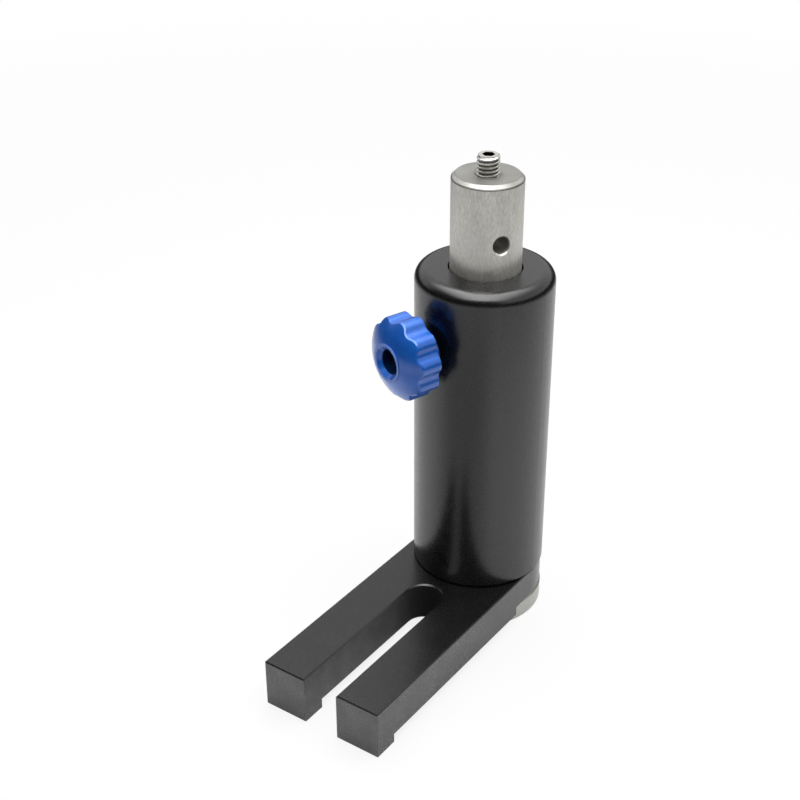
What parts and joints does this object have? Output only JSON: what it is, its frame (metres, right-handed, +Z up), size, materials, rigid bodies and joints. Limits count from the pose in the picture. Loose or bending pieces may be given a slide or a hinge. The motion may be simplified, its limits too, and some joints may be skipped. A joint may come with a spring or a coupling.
{
  "type": "magnetic pedestal post holder with optical post",
  "caption": "Round post holder on a magnetic pedestal with a slotted swivel arm, a fluted thumbscrew and a steel optical post that slides in its bore.",
  "frame": {"origin": "on the post's axis at table level, at the middle of the pedestal's underside", "axes": "+Z up along the post; the slotted arm points to -Y at rest; +X to the right of the arm seen from above with the arm's toes at the bottom"},
  "size_m": [0.0256, 0.062, 0.0906],
  "materials": {
    "black_anodised": "satin",
    "blue_anodised": "satin",
    "stainless": "satin",
    "bright_steel": "gloss",
    "nickel_plate": "satin",
    "black_oxide": "satin",
    "brass": "satin"
  },
  "bodies": {
    "holder": {"holder_body": "black_anodised", "pedestal": "nickel_plate", "pedestal_screw": "black_oxide", "magnet_1": "nickel_plate", "magnet_2": "nickel_plate", "magnet_3": "nickel_plate", "magnet_4": "nickel_plate"},
    "arm": {"base_arm": "black_anodised"},
    "post": {"post": "stainless", "post_stud": "bright_steel"},
    "spring": {"plunger_spring": "bright_steel"},
    "plunger": {"plunger": "brass"},
    "thumbscrew": {"knob": "blue_anodised", "thumbscrew": "black_oxide"}
  },
  "joints": [
    {"name": "arm_turn", "type": "hinge", "parent": "holder", "child": "arm", "pos_m": [0, 0, 0.006], "axis": [0, 0, 1], "continuous": true},
    {"name": "post_slide", "type": "slide", "parent": "holder", "child": "post", "axis": [0, 0, 1], "range_m": [-0.0155, 0.0155]},
    {"name": "screw_travel", "type": "slide", "parent": "holder", "child": "spring", "axis": [-0.309, -0.9511, 0], "range_m": [0, 0.0021]},
    {"name": "knob_turn", "type": "hinge", "parent": "spring", "child": "thumbscrew", "pos_m": [0, 0, 0.0576], "axis": [-0.309, -0.9511, 0], "range_deg": [0, 720]},
    {"name": "plunger_press", "type": "slide", "parent": "spring", "child": "plunger", "axis": [-0.309, -0.9511, 0], "range_m": [0, 0.0008], "stiffness_N_per_m": 1000, "deforming": ["plunger_spring"]}
  ],
  "couplings": [
    {"joint": "screw_travel", "follows": "knob_turn", "m_per_rad": 0.00015915}
  ]
}
